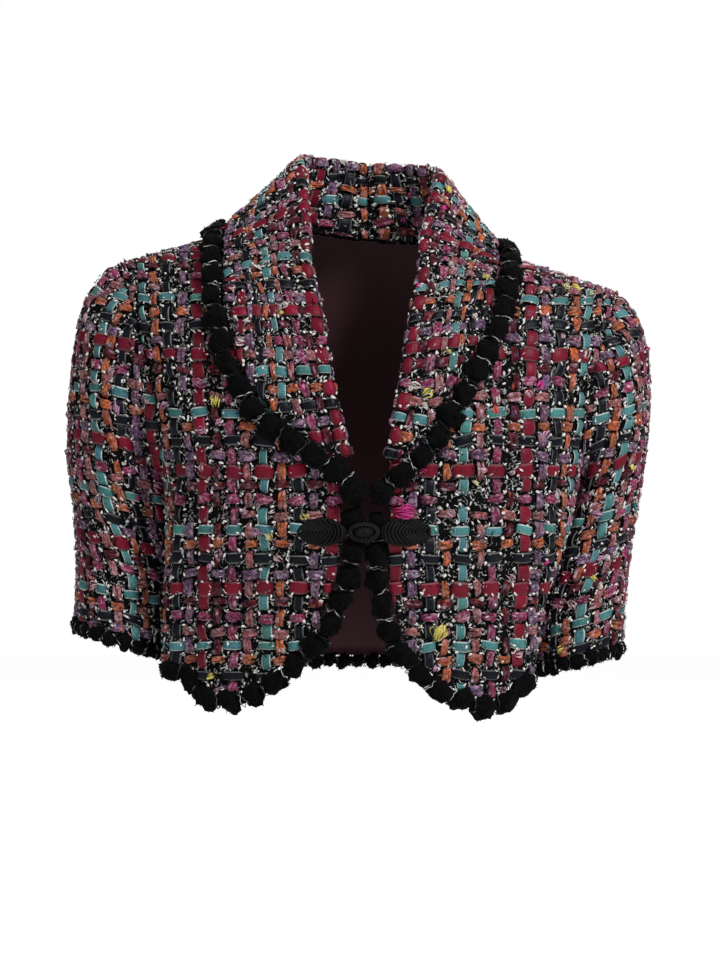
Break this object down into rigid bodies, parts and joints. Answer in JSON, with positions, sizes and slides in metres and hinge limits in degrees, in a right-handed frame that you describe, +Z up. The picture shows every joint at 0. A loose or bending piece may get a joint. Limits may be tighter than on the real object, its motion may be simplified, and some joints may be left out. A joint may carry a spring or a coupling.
{
  "type": "cropped tweed jacket",
  "caption": "Cropped open-front tweed jacket as worn: shawl collar, elbow-length sleeves, rounded fronts, bobble edging and a frog closure at the bust.",
  "frame": {"origin": "middle of the neck base, where the wearer's neck and shoulders hold the jacket up", "axes": "+Z up, the jacket's front faces -Y, +X is the wearer's left"},
  "size_m": [0.466, 0.2344, 0.4491],
  "materials": {
    "tweed": "coarse plain weave of ribbon and slub yarns in teal, navy, crimson, orange, lavender and pink with black and white boucle, matt with a slight ribbon sheen",
    "chenille": "black chenille pile, matt, bound with fine pale thread",
    "soutache": "black silky braid cord, soft sheen"
  },
  "bodies": {
    "root": {"back": "tweed", "front_right": "tweed", "front_left": "tweed", "sleeve_right": "tweed", "sleeve_left": "tweed", "collar": "tweed", "collar_trim": "chenille", "front_trim_right": "chenille", "front_trim_left": "chenille", "hem_trim_back": "chenille", "sleeve_trim_right": "chenille", "sleeve_trim_left": "chenille", "frog_leaf_right": "soutache", "frog_leaf_left": "soutache", "frog_loop": "soutache", "frog_knot": "soutache"}
  },
  "joints": []
}
